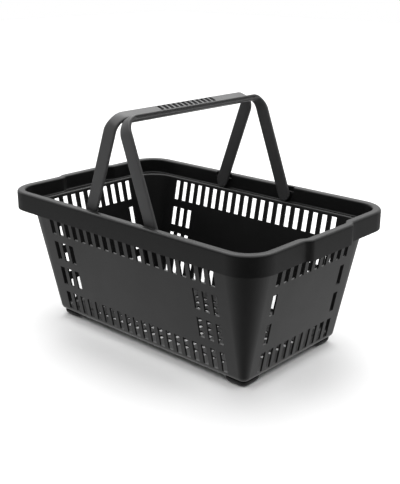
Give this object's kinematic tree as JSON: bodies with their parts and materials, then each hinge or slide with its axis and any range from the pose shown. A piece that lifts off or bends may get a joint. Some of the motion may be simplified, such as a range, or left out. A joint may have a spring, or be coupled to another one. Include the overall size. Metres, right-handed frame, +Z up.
{
  "type": "shopping_basket",
  "caption": "Hand shopping basket: tapered black plastic tub with slotted walls, deep rolled collar, corner feet and folding U-shaped carrying handles",
  "frame": {"origin": "centre of the basket's footprint, on the ground under the feet", "axes": "+X along the long side, +Y across to the far long side, +Z up"},
  "size_m": [0.476, 0.298, 0.3306],
  "materials": {
    "basket_plastic": "black moulded polypropylene, fine satin grain",
    "handle_plastic": "black moulded polypropylene, satin",
    "foot_rubber": "black soft rubber"
  },
  "bodies": {
    "basket": {"basket_shell": "basket_plastic", "foot_front_left": "foot_rubber", "foot_front_right": "foot_rubber", "foot_rear_left": "foot_rubber", "foot_rear_right": "foot_rubber"},
    "left_bail": {"handle_left": "handle_plastic"},
    "right_bail": {"handle_right": "handle_plastic"}
  },
  "joints": [
    {"name": "left_handle_fold", "type": "hinge", "parent": "basket", "child": "left_bail", "pos_m": [-0.06, 0, 0.1864], "axis": [0, -1, 0], "range_deg": [0, 110.3]},
    {"name": "right_handle_fold", "type": "hinge", "parent": "basket", "child": "right_bail", "pos_m": [0.06, 0, 0.1864], "axis": [0, 1, 0], "range_deg": [0, 110.3]}
  ]
}
